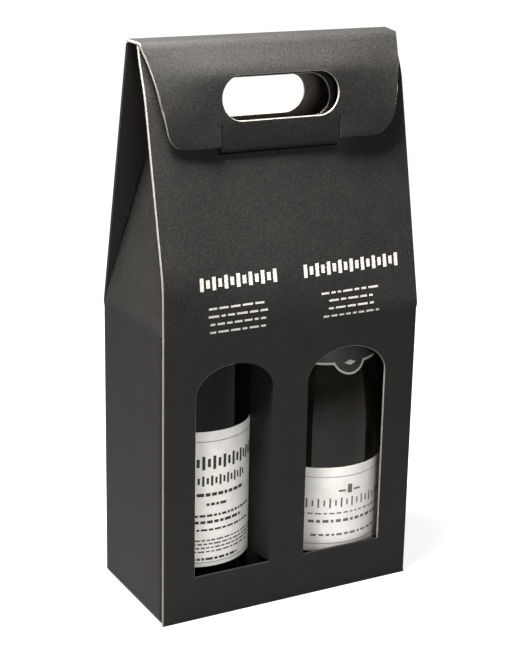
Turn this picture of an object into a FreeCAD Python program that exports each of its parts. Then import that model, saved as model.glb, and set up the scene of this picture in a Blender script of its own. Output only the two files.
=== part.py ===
# Two-bottle carrier box: one folded sheet of thin corrugated board with two
# arched windows, gusseted sides and a hand hole, closed by a flap that goes
# over the top and tucks into a slit in the front. Two wine bottles stand in it.
# All sizes are in millimetres. The origin is the middle of the base, the front
# faces -Y and +Z is up.
import FreeCAD, Part
import math
import os

Vector = FreeCAD.Vector

# Driving dimensions of the board and the box
board = 1.6                    # thickness of the board
box_width = 180.0              # outside width, left to right
box_depth = 90.0               # outside depth of the straight lower part
edge_height = 358.0            # height of the upper edges of front and back
shoulder_height = 191.0        # crease where the back and the sides turn inwards
front_bend_height = 205.0      # middle of the soft bend across the front
front_bend_radius = 150.0
front_edge_y = -9.5            # outer face of the front at its upper edge
back_edge_y = 7.5              # outer face of the back at its upper edge
gusset_reach = 30.0            # how far the side folds reach inwards at the top
reach_past = 6.0               # how far cutting shapes run past what they cut

# Base flaps, tuck tongue and the glued seam
layer_gap = 0.2                # between two layers of board in the base
flap_gap = 0.4                 # between the long base flap and the walls
end_flap_length = 60.0
tuck_height = 22.0
glue_flap_width = 15.0
glue_flap_top = 180.0

# Windows, each with the door that was cut from it and folded inwards
window_bottom = 29.5
arch_spring = 148.0            # height where the sides turn into the arch
arch_rise = 19.6
left_window_margin = 22.0      # from the side of the box to the window's outer edge
right_window_margin = 22.7
left_window_inner = -14.5
right_window_inner = 10.5
left_door_lean = 6.0           # degrees short of square to the front
right_door_lean = 8.0

# Hand holes
hole_width = 78.0
hole_height = 25.0
hole_middle_x = -3.0
hole_drop = 33.5               # from the upper edge down to the middle of the front's hole
back_hole_drop = 37.5
flap_hole_drop = 31.5
flap_hole_margin = 1.0         # the hole in the flap is larger all round by this

# Closing flap with its tongue
flap_lift = 0.3                # clearance between the flap and the upper edges
flap_fold_radius = 2.4         # outside radius where the flap turns down
flap_fold_ahead = 0.95         # middle of that fold in front of the front's upper edge
flap_drop = 60.0               # from the upper edge down to the flap's lower edge
flap_stand_off = 5.08          # outer face at that edge in front of the box's front
flap_low_tilt = -3.0           # degrees by which the face looks down there
flap_side_taper = 13.0         # by how much each side comes in down to the lower corners
flap_corner_radius = 20.0
tongue_width = 81.0
tongue_side_gap = 0.5
tongue_drop = 46.0             # from the upper edge down to the strip's start
tongue_slope = 0.09            # inward run for each unit down, above the slit
tongue_radius = 71.5           # outer face of the tongue about the flap's hinge
tongue_insert = 9.05           # how far the tongue's tip is behind the front's outer face
slit_side_gap = 1.0
slit_play = 1.6                # clearance above and below the tongue in the slit

# Bottles
bottle_foot_round = 4.0
punt_depth = 14.0
punt_share = 0.62              # radius of the hollow under a bottle over its own
punt_middle = (0.5, 0.75)      # half way up the hollow, as shares of its radius and depth
left_bottle_play = 5.9         # clearance round the bottle in its half of the box
left_bottle_side_gap = 1.6     # between the bottle and the side wall
left_bottle_y = 0.0
left_bottle_shoulder = 45.6
left_bottle_neck = 62.4        # length of the neck with its lip
left_bottle_headroom = 56.6    # from the bottle's mouth up to the upper edge
# Shares of the narrowing, each with its share of the shoulder's height
left_curve = [(0.0, 0.0), (0.05, 0.18), (0.27, 0.4), (0.60, 0.58), (0.88, 0.75), (1.0, 1.0)]
right_bottle_play = 2.4
right_bottle_side_gap = 1.0
right_bottle_y = -0.5
right_bottle_slope = 136.0     # height taken by the long slope up to the neck
right_bottle_neck = 57.0
right_bottle_headroom = 60.6
right_curve = [(0.0, 0.0), (0.06, 0.17), (0.19, 0.34), (0.46, 0.56), (0.81, 0.80), (1.0, 1.0)]
neck_radius = 14.0
lip_radius = 14.9
lip_height = 14.0

# Paper labels and foil capsules
paper = 0.25
paper_gap = 0.03
left_label_bottom = 31.4
left_label_height = 91.4
left_label_half_angle = 76.0
right_label_bottom = 24.7
right_label_height = 59.0
right_label_half_angle = 70.0
collar_rise = 48.1             # from the start of the slope up to the collar's lower edge
collar_height = 30.0
collar_half_angle = 43.0
collar_dip_radius = 11.3
collar_dip_depth = 7.0
foil = 0.3
foil_length = 56.0

# Sizes worked out from the ones above
half_width = box_width / 2.0
half_depth = box_depth / 2.0
front_inner_y = -half_depth + board
back_inner_y = half_depth - board
floor_top = 2.0 * board + layer_gap
left_window_outer = left_window_margin - half_width
right_window_outer = half_width - right_window_margin
hole_middle_z = edge_height - hole_drop
back_hole_middle_z = edge_height - back_hole_drop
flap_hole_middle_z = edge_height - flap_hole_drop
flap_under_z = edge_height + flap_lift
flap_top_z = flap_under_z + board
hinge_y = back_edge_y
hinge_z = edge_height + flap_lift / 2.0
front_run = (front_edge_y + half_depth) / (edge_height - front_bend_height)
flap_low_z = edge_height - flap_drop
flap_low_y = front_edge_y - flap_drop * front_run - flap_stand_off
flap_side_low_x = half_width - flap_side_taper
tongue_top_z = edge_height - tongue_drop
tongue_tip_y = front_edge_y - (edge_height - hinge_z + tongue_radius) * front_run + tongue_insert
cell_radius = min(half_depth, half_width / 2.0) - board   # room for a bottle, each in half of the box
left_bottle_radius = cell_radius - left_bottle_play
left_bottle_x = left_bottle_radius + left_bottle_side_gap + board - half_width
left_bottle_height = edge_height - left_bottle_headroom - floor_top
left_bottle_straight = left_bottle_height - left_bottle_neck - left_bottle_shoulder
right_bottle_radius = cell_radius - right_bottle_play
right_bottle_x = half_width - board - right_bottle_side_gap - right_bottle_radius
right_bottle_height = edge_height - right_bottle_headroom - floor_top
right_bottle_straight = right_bottle_height - right_bottle_neck - right_bottle_slope
full_turn = 360.0
block_size = 4.0 * edge_height   # larger than the box, for cutting planes


def wire_face(edges):
    """Planar face inside a closed chain of edges."""
    return Part.Face(Part.Wire(edges))


def polygon_face(points):
    """Planar face inside a closed chain of straight lines."""
    return Part.Face(Part.makePolygon(points + [points[0]]))


def box_between(low, high):
    """Box from its lowest corner to its highest one."""
    size = [b - a for a, b in zip(low, high)]
    return Part.makeBox(size[0], size[1], size[2], Vector(*low))


def yz(y, z, x=0.0):
    """Point of the side view."""
    return Vector(x, y, z)


# The front and back of the box, seen from the side

def front_slope():
    """Angle between the upper front and the vertical."""
    return math.atan(front_run)


def back_slope():
    """Angle between the upper back and the vertical."""
    return math.atan2(half_depth - back_edge_y, edge_height - shoulder_height)


def front_bend(inset):
    """Ends and middle of the arc across the front, moved in by a thickness."""
    slope = front_slope()
    middle_y = -half_depth + front_bend_radius
    low_z = front_bend_height - front_bend_radius * math.tan(slope / 2.0)
    radius = front_bend_radius - inset
    angles = (0.0, slope / 2.0, slope)
    return [(middle_y - radius * math.cos(a), low_z + radius * math.sin(a)) for a in angles]


def slanted(point, slope, side, height):
    """Point at a height on the line that leaves a point at a slope from vertical."""
    return (point[0] + side * (height - point[1]) * math.tan(slope), height)


def side_view(inset, low, high):
    """Face of the side view between two heights, moved in by a thickness."""
    bend = front_bend(inset)
    front_high = slanted(bend[2], front_slope(), 1.0, high)
    turn = inset * math.tan(back_slope() / 2.0)
    back_turn = (half_depth - inset, shoulder_height - turn)
    back_high = slanted(back_turn, back_slope(), -1.0, high)
    corners = [(-half_depth + inset, low), bend[0], bend[2], front_high, back_high, back_turn,
               (half_depth - inset, low)]
    points = [yz(*c) for c in corners]
    edges = [Part.LineSegment(points[0], points[1]).toShape(),
             Part.Arc(points[1], yz(*bend[1]), points[2]).toShape()]
    for start, end in zip(points[2:], points[3:] + points[:1]):
        edges.append(Part.LineSegment(start, end).toShape())
    return wire_face(edges)


def across(face, half):
    """Prism of a side view, as wide as the box or less."""
    moved = face.translated(Vector(-half, 0, 0))
    return moved.extrude(Vector(2.0 * half, 0, 0))


# The folds that go inwards at the sides

def half_space(on_plane, inside, grow):
    """Large block on one side of a plane through three points, grown by a thickness."""
    first, second, third = on_plane
    normal = (second - first).cross(third - first).normalize()
    if (inside - first).dot(normal) > 0:
        normal = -normal
    block = Part.makeBox(block_size, block_size, block_size,
                         Vector(-block_size / 2.0, -block_size / 2.0, -block_size))
    block.Placement = FreeCAD.Placement(third + normal * grow,
                                        FreeCAD.Rotation(Vector(0, 0, 1), normal))
    return block


def gusset(grow, side):
    """Space that a side fold takes from the box, grown by a thickness."""
    tip = Vector(side * (half_width - gusset_reach), 0, edge_height)
    inside = Vector(side * half_width, 0, (edge_height + shoulder_height) / 2.0)
    front_corner = Vector(side * half_width, -half_depth, shoulder_height)
    back_corner = Vector(side * half_width, half_depth, shoulder_height)
    front_top = Vector(side * half_width, front_edge_y + 2.0 * board, edge_height)
    back_top = Vector(side * half_width, back_edge_y - 2.0 * board, edge_height)
    space = half_space([front_corner, front_top, tip], inside, grow)
    space = space.common(half_space([back_corner, back_top, tip], inside, grow))
    return space.common(half_space([front_corner, back_corner, tip], inside, grow))


# The folded sheet

def standing_walls():
    """Front, back and sides with their folds, open at the top and the bottom."""
    high = edge_height + reach_past
    outside = across(side_view(0.0, 0.0, edge_height), half_width)
    inside = across(side_view(board, -reach_past, high), half_width - board)
    shell = outside
    for side in (-1.0, 1.0):
        inside = inside.cut(gusset(board, side))
        shell = shell.cut(gusset(0.0, side))
    shell = shell.cut(inside)
    hollow = across(side_view(board, -reach_past, high), half_width + reach_past)
    return shell.fuse(outside.cut(hollow))


def side_bottoms():
    """Space under the side walls, which turn into the end flaps above the long flap."""
    low = board + layer_gap
    spaces = []
    for side in (-1.0, 1.0):
        edge = [side * (half_width - board), side * (half_width + reach_past)]
        spaces.append(box_between((min(edge), front_inner_y, -reach_past), (max(edge), back_inner_y, low)))
    return spaces


def base_flaps():
    """Long flap with its tuck tongue, and the two end flaps that lie on it."""
    flap_half = half_width - board - flap_gap
    flap_back = back_inner_y - flap_gap
    tuck_front = flap_back - board
    long_flap = box_between((-flap_half, -half_depth, 0), (flap_half, flap_back, board))
    tuck = box_between((-flap_half, tuck_front, 0), (flap_half, flap_back, tuck_height))
    flaps = [long_flap, tuck]
    for side in (-1.0, 1.0):
        edge = [side * half_width, side * (half_width - board - end_flap_length)]
        low = (min(edge), front_inner_y + flap_gap, board + layer_gap)
        flaps.append(box_between(low, (max(edge), tuck_front - flap_gap, floor_top)))
    return flaps


def glue_flap():
    """Strip of the left side that is glued behind the front."""
    low = (-half_width + board / 2.0, front_inner_y, floor_top + flap_gap)
    return box_between(low, (-half_width + board + glue_flap_width, front_inner_y + board, glue_flap_top))


def seam_groove():
    """Groove at the left front corner, where the side bends in behind the raw edge."""
    low = (-half_width - reach_past, front_inner_y, -reach_past)
    return box_between(low, (-half_width + board / 2.0, front_inner_y + board / 2.0, glue_flap_top))


def arch_outline(low_x, high_x):
    """Outline with a straight foot and an arched head, in the XZ plane."""
    middle = (low_x + high_x) / 2.0
    half = abs(high_x - low_x) / 2.0
    spring = Vector(middle, 0, arch_spring)
    long_way, short_way = sorted((half, arch_rise), reverse=True)
    ellipse = Part.Ellipse(spring + Vector(half, 0, 0), spring + Vector(0, 0, arch_rise), spring)
    if arch_rise > half:
        ellipse = Part.Ellipse(spring + Vector(0, 0, long_way), spring + Vector(short_way, 0, 0), spring)
    first = Vector(middle - half, 0, arch_spring)
    last = Vector(middle + half, 0, arch_spring)
    top = Vector(middle, 0, arch_spring + arch_rise)
    start, end = sorted((ellipse.parameter(first), ellipse.parameter(last)))
    arc = Part.ArcOfEllipse(ellipse, start, end)
    if arc.toShape().distToShape(Part.Vertex(top))[0] > board:
        arc = Part.ArcOfEllipse(ellipse, end, start + 2.0 * math.pi)
    foot_first = Vector(first.x, 0, window_bottom)
    foot_last = Vector(last.x, 0, window_bottom)
    edges = [arc.toShape(), Part.LineSegment(first, foot_first).toShape(),
             Part.LineSegment(foot_first, foot_last).toShape(),
             Part.LineSegment(foot_last, last).toShape()]
    return wire_face(Part.sortEdges(edges)[0])


def window_cut(low_x, high_x):
    """Prism of a window, through the front alone."""
    face = arch_outline(low_x, high_x).translated(Vector(0, -half_depth - reach_past, 0))
    return face.extrude(Vector(0, reach_past + board + layer_gap, 0))


def door(fold_x, free_x, lean):
    """Door cut from a window and folded inwards about one side of it."""
    width = abs(free_x - fold_x)
    inward = 1.0 if fold_x > free_x else -1.0
    plate = arch_outline(0.0, width).extrude(Vector(0, board, 0))
    upright = FreeCAD.Rotation(Vector(0, 0, 1), 90.0 - inward * lean)
    plate.Placement = FreeCAD.Placement(Vector(0, 0, 0), upright)
    if inward > 0:
        plate = plate.mirror(Vector(0, 0, 0), Vector(1, 0, 0))
        plate.rotate(Vector(0, 0, 0), Vector(0, 0, 1), -2.0 * lean)
    plate = plate.translated(Vector(fold_x, -half_depth, 0))
    return plate.common(box_between((-half_width, -half_depth, 0), (half_width, half_depth, edge_height)))


def obround(middle_z, margin, low_y, high_y):
    """Prism of the hand hole between two depths, larger all round by a margin."""
    middle_x = hole_middle_x
    radius = hole_height / 2.0 + margin
    run = (hole_width - hole_height) / 2.0
    length = high_y - low_y
    bar = box_between((middle_x - run, low_y, middle_z - radius),
                      (middle_x + run, high_y, middle_z + radius))
    for x in (middle_x - run, middle_x + run):
        bar = bar.fuse(Part.makeCylinder(radius, length, Vector(x, low_y, middle_z), Vector(0, 1, 0)))
    return bar


def tongue_ring(grow, half):
    """Ring about the flap's hinge in which the tongue travels."""
    outer = tongue_radius + grow
    inner = tongue_radius - board - grow
    start = Vector(hole_middle_x - half, hinge_y, hinge_z)
    ring = Part.makeCylinder(outer, 2.0 * half, start, Vector(1, 0, 0))
    return ring.cut(Part.makeCylinder(inner, 2.0 * half, start, Vector(1, 0, 0)))


def slit():
    """Slit in the front that the tongue goes through."""
    half = tongue_width / 2.0 + slit_side_gap
    reach = half_width
    ring = tongue_ring(slit_play, half)
    zone = box_between((-reach, -half_depth, shoulder_height), (reach, tongue_tip_y - board, tongue_top_z))
    return ring.common(zone)


def carton():
    """The folded sheet of board, as one solid."""
    sheet = standing_walls()
    for space in side_bottoms():
        sheet = sheet.cut(space)
    for flap in base_flaps():
        sheet = sheet.fuse(flap)
    sheet = sheet.fuse(glue_flap()).cut(seam_groove())
    sheet = sheet.cut(window_cut(left_window_outer, left_window_inner))
    sheet = sheet.cut(window_cut(right_window_inner, right_window_outer))
    sheet = sheet.cut(obround(hole_middle_z, 0.0, -half_depth, 0.0))
    sheet = sheet.cut(obround(back_hole_middle_z, 0.0, 0.0, half_depth))
    sheet = sheet.cut(slit())
    sheet = sheet.fuse(door(left_window_inner, left_window_outer, left_door_lean))
    sheet = sheet.fuse(door(right_window_inner, right_window_outer, right_door_lean))
    return sheet.removeSplitter()


# The closing flap

def flap_curve():
    """Centres of the hanging part's bulge and of the fold above it, the bulge's radius and
    the angle at which one runs into the other."""
    tilt = math.radians(flap_low_tilt)
    fold = (front_edge_y - flap_fold_ahead, flap_top_z - flap_fold_radius)
    forward = flap_low_y - fold[0]
    upward = flap_low_z - fold[1]
    towards = forward * math.cos(tilt) - upward * math.sin(tilt)
    square = forward ** 2 + upward ** 2 - flap_fold_radius ** 2
    radius = -square / (2.0 * (towards + flap_fold_radius))
    bulge = (flap_low_y + radius * math.cos(tilt), flap_low_z - radius * math.sin(tilt))
    angle = math.atan2(fold[1] - bulge[1], bulge[0] - fold[0])
    return bulge, fold, radius, angle


def on_circle(centre, radius, angle):
    """Point at an angle above the forward direction, in the side view."""
    return yz(centre[0] - radius * math.cos(angle), centre[1] + radius * math.sin(angle))


def flap_arcs(inset):
    """Bulge arc and fold arc of the flap, moved in by a thickness."""
    bulge, fold, radius, angle = flap_curve()
    tilt = math.radians(flap_low_tilt)
    right = math.pi / 2.0
    bulge_radius = radius - inset
    fold_radius = flap_fold_radius - inset
    bulge_arc = [on_circle(bulge, bulge_radius, a) for a in (tilt, (tilt + angle) / 2.0, angle)]
    fold_arc = [on_circle(fold, fold_radius, a) for a in (angle, (angle + right) / 2.0, right)]
    return bulge_arc, fold_arc


def flap_sheet():
    """The flap over its full width, from the rear crease to its lower edge."""
    outer_bulge, outer_fold = flap_arcs(0.0)
    inner_bulge, inner_fold = flap_arcs(board)
    outer_end = yz(hinge_y, flap_top_z)
    inner_end = yz(hinge_y, flap_under_z)
    edges = [Part.Arc(*outer_bulge).toShape(), Part.Arc(*outer_fold).toShape(),
             Part.LineSegment(outer_fold[2], outer_end).toShape(),
             Part.LineSegment(outer_end, inner_end).toShape(),
             Part.LineSegment(inner_end, inner_fold[2]).toShape(),
             Part.Arc(*inner_fold).toShape(), Part.Arc(*inner_bulge).toShape(),
             Part.LineSegment(inner_bulge[0], outer_bulge[0]).toShape()]
    return across(wire_face(Part.sortEdges(edges)[0]), half_width)


def flap_outline():
    """Prism of the flap's outline seen from the front, with its round lower corners."""
    low = flap_low_z - board
    high = flap_top_z + reach_past
    corners = [(-flap_side_low_x, low), (flap_side_low_x, low), (half_width, edge_height),
               (half_width, high), (-half_width, high), (-half_width, edge_height)]
    face = polygon_face([Vector(x, -half_depth - reach_past, z) for x, z in corners])
    prism = face.extrude(Vector(0, box_depth + 2.0 * reach_past, 0))
    lower_corners = [e for e in prism.Edges if is_lower_corner(e, low)]
    return prism.makeFillet(flap_corner_radius, lower_corners)


def is_lower_corner(edge, low):
    """Whether an edge of the outline runs front to back at its lower corners."""
    box = edge.BoundBox
    return box.YLength > box_depth and abs(box.ZMax - low) < layer_gap


def tongue_corner(start, radius):
    """Where a face of the strip under the hand hole meets a face of the tongue."""
    forward = start[0] - hinge_y
    upward = start[1] - hinge_z
    square = tongue_slope ** 2 + 1.0
    half_linear = tongue_slope * forward - upward
    rest = forward ** 2 + upward ** 2 - radius ** 2
    drop = (-half_linear + math.sqrt(half_linear ** 2 - square * rest)) / square
    return (start[0] + tongue_slope * drop, start[1] - drop)


def tongue():
    """Strip under the hand hole with the tongue that goes through the slit."""
    bulge, _, radius, _ = flap_curve()
    angle = math.asin((tongue_top_z - bulge[1]) / radius)
    outer_top = on_circle(bulge, radius, angle)
    outer_start = (outer_top.y, tongue_top_z)
    inner_start = (outer_top.y + board / math.cos(angle), tongue_top_z)
    outer_low = tongue_corner(outer_start, tongue_radius)
    inner_low = tongue_corner(inner_start, tongue_radius - board)
    half = tongue_width / 2.0
    strip = polygon_face([yz(*p) for p in (outer_start, inner_start, inner_low, outer_low)])
    strip = across(strip, half).translated(Vector(hole_middle_x, 0, 0))
    zone = box_between((-half_width, outer_low[0], shoulder_height), (half_width, tongue_tip_y, tongue_top_z))
    return strip.fuse(tongue_ring(0.0, half).common(zone))


def closing_flap():
    """The flap that folds over the top and down the front."""
    sheet = flap_sheet().common(flap_outline())
    sheet = sheet.cut(obround(flap_hole_middle_z, flap_hole_margin, -half_depth, 0.0))
    half = tongue_width / 2.0 + tongue_side_gap
    gap = box_between((hole_middle_x - half, -half_depth, shoulder_height),
                      (hole_middle_x + half, half_depth, tongue_top_z))
    return sheet.cut(gap).fuse(tongue()).removeSplitter()


# The bottles

def shoulder_points(radius, straight, height, shares):
    """Points of a bottle's shoulder, from shares of its narrowing and its height."""
    narrowing = radius - neck_radius
    return [(radius - narrowing * share, straight + height * rise) for share, rise in shares]


def radial(point, grow=0.0):
    """Point of a bottle's half section, moved out by a thickness."""
    return Vector(point[0] + grow, 0, point[1])


def shoulder_edge(points, grow=0.0):
    """Smooth shoulder that leaves the body and meets the neck upright."""
    curve = Part.BSplineCurve()
    curve.interpolate(Points=[radial(p, grow) for p in points],
                      InitialTangent=Vector(0, 0, 1), FinalTangent=Vector(0, 0, 1))
    return curve.toShape()


def chain(points):
    """Straight edges from point to point."""
    return [Part.LineSegment(a, b).toShape() for a, b in zip(points, points[1:])]


def spin(edges, angle=full_turn):
    """Solid of revolution of a half section, centred on the front."""
    solid = wire_face(Part.sortEdges(edges)[0]).revolve(Vector(0, 0, 0), Vector(0, 0, 1), angle)
    solid.rotate(Vector(0, 0, 0), Vector(0, 0, 1), -90.0 - angle / 2.0)
    return solid


def bottle(radius, height, shoulder):
    """A full bottle as one solid, standing on its foot."""
    ring = radius * punt_share
    foot_start = Vector(radius - bottle_foot_round, 0, 0)
    foot_end = Vector(radius, 0, bottle_foot_round)
    foot_centre = Vector(radius - bottle_foot_round, 0, bottle_foot_round)
    foot_way = Vector(1, 0, -1).normalize()
    foot_middle = foot_centre + foot_way * bottle_foot_round
    punt_top = Vector(0, 0, punt_depth)
    punt_half = Vector(ring * punt_middle[0], 0, punt_depth * punt_middle[1])
    punt_end = Vector(ring, 0, 0)
    lip_low = height - lip_height
    edges = [Part.Arc(punt_top, punt_half, punt_end).toShape()]
    edges += chain([punt_end, foot_start])
    edges.append(Part.Arc(foot_start, foot_middle, foot_end).toShape())
    edges += chain([foot_end, radial(shoulder[0])])
    edges.append(shoulder_edge(shoulder))
    edges += chain([radial(shoulder[-1]), Vector(neck_radius, 0, lip_low), Vector(lip_radius, 0, lip_low),
                    Vector(lip_radius, 0, height), Vector(0, 0, height), punt_top])
    return spin(edges)


def label(radius, bottom, height, half_angle):
    """Paper label round the front of a bottle's body."""
    inner = radius + paper_gap
    low = Vector(inner, 0, bottom)
    high = Vector(inner + paper, 0, bottom + height)
    corners = [low, Vector(high.x, 0, low.z), high, Vector(low.x, 0, high.z)]
    return spin(chain(corners + [low]), 2.0 * half_angle)


def collar_label(shoulder):
    """Small label on a bottle's slope, with a round dip in its lower edge."""
    inner = shoulder_edge(shoulder, paper_gap)
    outer = shoulder_edge(shoulder, paper_gap + paper)
    ends = [chain([radial(p, paper_gap), radial(p, paper_gap + paper)])[0] for p in (shoulder[0], shoulder[-1])]
    skin = spin([inner, outer] + ends, 2.0 * collar_half_angle)
    low = shoulder[0][1] + collar_rise
    reach = right_bottle_radius + reach_past
    dip = Vector(0, 0, low - collar_dip_depth)
    left = Vector(-collar_dip_radius, 0, low)
    right = Vector(collar_dip_radius, 0, low)
    high = low + collar_height
    outline = [Part.Arc(left, dip, right).toShape()]
    outline += chain([right, Vector(reach, 0, low), Vector(reach, 0, high), Vector(-reach, 0, high),
                      Vector(-reach, 0, low), left])
    return skin.common(wire_face(Part.sortEdges(outline)[0]).extrude(Vector(0, -reach, 0)))


def capsule(height):
    """Foil over a bottle's mouth and the top of its neck."""
    low = height - foil_length
    lip_low = height - lip_height - paper_gap
    neck = neck_radius + paper_gap
    lip = lip_radius + paper_gap
    top = height + paper_gap
    inner = [(neck, low), (neck, lip_low), (lip, lip_low), (lip, top), (0, top)]
    outer = [(0, top + foil), (lip + foil, top + foil), (lip + foil, lip_low - foil),
             (neck + foil, lip_low - foil), (neck + foil, low)]
    points = [Vector(x, 0, z) for x, z in inner + outer]
    return spin(chain(points + [points[0]]))


def standing(shape, x, y):
    """A bottle's piece set down at its place in the box."""
    return shape.translated(Vector(x, y, floor_top))


def left_pieces():
    """The bottle with high shoulders, its label and its foil."""
    shoulder = shoulder_points(left_bottle_radius, left_bottle_straight, left_bottle_shoulder, left_curve)
    bottom = left_label_bottom - floor_top
    return {
        "bottle_left": bottle(left_bottle_radius, left_bottle_height, shoulder),
        "label_left": label(left_bottle_radius, bottom, left_label_height, left_label_half_angle),
        "capsule_left": capsule(left_bottle_height),
    }


def right_pieces():
    """The bottle with a long slope, its two labels and its foil."""
    slope = shoulder_points(right_bottle_radius, right_bottle_straight, right_bottle_slope, right_curve)
    bottom = right_label_bottom - floor_top
    return {
        "bottle_right": bottle(right_bottle_radius, right_bottle_height, slope),
        "label_right": label(right_bottle_radius, bottom, right_label_height, right_label_half_angle),
        "collar_label_right": collar_label(slope),
        "capsule_right": capsule(right_bottle_height),
    }


def all_parts():
    """Every piece by its name."""
    parts = {"carton": carton(), "closing_flap": closing_flap()}
    for name, shape in left_pieces().items():
        parts[name] = standing(shape, left_bottle_x, left_bottle_y)
    for name, shape in right_pieces().items():
        parts[name] = standing(shape, right_bottle_x, right_bottle_y)
    return parts


os.makedirs("parts", exist_ok=True)
for node_name, node_shape in all_parts().items():
    solids = node_shape.Solids
    if len(solids) == 1:
        node_shape = solids[0]
    print(node_name, len(solids), node_shape.isValid(), round(node_shape.Volume, 1), node_shape.BoundBox)
    node_shape.exportStep("parts/" + node_name + ".step")
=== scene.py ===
"""Two-bottle carrier box of dark printed board, dressed for rendering.

The classes hold their sizes in millimetres and build meshes in metres, in the frame of the
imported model: the middle of the base is the origin, the front faces -Y and +Z is up.
"""
from __future__ import annotations

import logging
import math
import random
from dataclasses import dataclass, field
from enum import IntEnum
from typing import Callable, Sequence

import bmesh
import bpy
import numpy as np
from mathutils import Matrix, Vector
from mathutils.geometry import delaunay_2d_cdt


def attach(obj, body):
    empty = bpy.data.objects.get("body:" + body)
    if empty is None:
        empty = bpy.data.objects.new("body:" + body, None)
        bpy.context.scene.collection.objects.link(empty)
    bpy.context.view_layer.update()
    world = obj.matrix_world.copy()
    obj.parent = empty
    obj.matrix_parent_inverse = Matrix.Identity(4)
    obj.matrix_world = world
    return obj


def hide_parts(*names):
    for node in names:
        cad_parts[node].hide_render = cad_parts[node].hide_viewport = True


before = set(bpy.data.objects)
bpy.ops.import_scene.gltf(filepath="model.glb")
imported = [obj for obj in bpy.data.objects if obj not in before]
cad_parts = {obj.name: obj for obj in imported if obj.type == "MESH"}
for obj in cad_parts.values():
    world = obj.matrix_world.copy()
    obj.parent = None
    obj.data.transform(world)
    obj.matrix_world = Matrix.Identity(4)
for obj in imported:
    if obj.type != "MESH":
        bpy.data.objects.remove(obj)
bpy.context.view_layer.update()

log = logging.getLogger("carrier_box")
MM = 0.001
BMesh = bmesh.types.BMesh
Material = bpy.types.Material
Object = bpy.types.Object
Socket = bpy.types.NodeSocket
Flat = tuple[float, float]
Place = Callable[[float, float], Vector]
X_AXIS, Y_AXIS, Z_AXIS = (Vector(row) for row in Matrix.Identity(3))


class Side(IntEnum):
    """What a face of the board shows, as its place among the sheet's materials."""

    PRINT = 0
    LINER = 1
    EDGE = 2


# What a cut edge shows, from its middle
Rim = Callable[[Vector], Side]


# Colours and shader nodes

def linear(hex_colour: str) -> tuple[float, float, float, float]:
    """Linear red, green, blue and an alpha of one, from six sRGB hex digits."""
    values = [int(hex_colour[i:i + 2], 16) / 255.0 for i in (0, 2, 4)]
    red, green, blue = (v / 12.92 if v <= 0.04045 else ((v + 0.055) / 1.055) ** 2.4 for v in values)
    return (red, green, blue, 1.0)


def per_metre(size_mm: float) -> float:
    """Texture scale that repeats once in a size given in millimetres."""
    return 1.0 / (size_mm * MM)


class Nodes:
    """Node tree of a material or the world, with short ways to add to it."""

    def __init__(self, owner: Material | bpy.types.World) -> None:
        owner.use_nodes = True
        self.tree = owner.node_tree
        self.tree.nodes.clear()

    def feed(self, node: bpy.types.Node, inputs: dict) -> None:
        """Set or link a node's inputs, given by name or index."""
        for key, value in inputs.items():
            if isinstance(value, Socket):
                self.tree.links.new(value, node.inputs[key])
            else:
                node.inputs[key].default_value = value

    def add(self, kind: str, inputs: dict | None = None, **settings) -> bpy.types.Node:
        """Add a node of a kind, with its inputs and the properties of the node itself."""
        node = self.tree.nodes.new(kind)
        for name, value in settings.items():
            setattr(node, name, value)
        self.feed(node, inputs or {})
        return node

    def sum(self, operation: str, *values) -> Socket:
        """Value of one sum over sockets and numbers."""
        return self.add("ShaderNodeMath", dict(enumerate(values)), operation=operation).outputs[0]


class Shading(Nodes):
    """A material under construction, with its Principled shader and object coordinates."""

    def __init__(self, name: str) -> None:
        self.material = bpy.data.materials.new(name)
        super().__init__(self.material)
        self.shader = self.add("ShaderNodeBsdfPrincipled")
        self.add("ShaderNodeOutputMaterial", {"Surface": self.shader.outputs[0]})
        self.where = self.add("ShaderNodeTexCoord").outputs["Object"]

    def noise(self, size_mm: float, **inputs) -> Socket:
        """Noise with patches of a size in millimetres."""
        inputs = {"Vector": self.where, "Scale": per_metre(size_mm), **inputs}
        return self.add("ShaderNodeTexNoise", inputs).outputs["Fac"]

    def bump(self, height: Socket, strength: float, depth_mm: float, **inputs) -> Socket:
        """Normal of a surface with a fine relief."""
        inputs = {"Height": height, "Strength": strength, "Distance": depth_mm * MM, **inputs}
        return self.add("ShaderNodeBump", inputs).outputs[0]

    def ramp(self, value: Socket, *stops: tuple[float, str]) -> Socket:
        """Colour ramp over a value, from the position and hex colour of each stop."""
        node = self.add("ShaderNodeValToRGB", {"Fac": value})
        elements = node.color_ramp.elements
        while len(elements) < len(stops):
            elements.new(0.5)
        for element, (position, colour) in zip(elements, stops):
            element.position = position
            element.color = linear(colour)
        return node.outputs["Color"]

    def mix(self, share: Socket, under: Socket, over: str) -> Socket:
        """Colour of a socket where the share is zero, and a hex colour where it is one."""
        inputs = {"Factor": share, 6: under, 7: linear(over)}
        return self.add("ShaderNodeMix", inputs, data_type="RGBA").outputs[2]

    def finish(self, inputs: dict) -> Material:
        """Feed the shader and return the material."""
        self.feed(self.shader, inputs)
        return self.material


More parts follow.
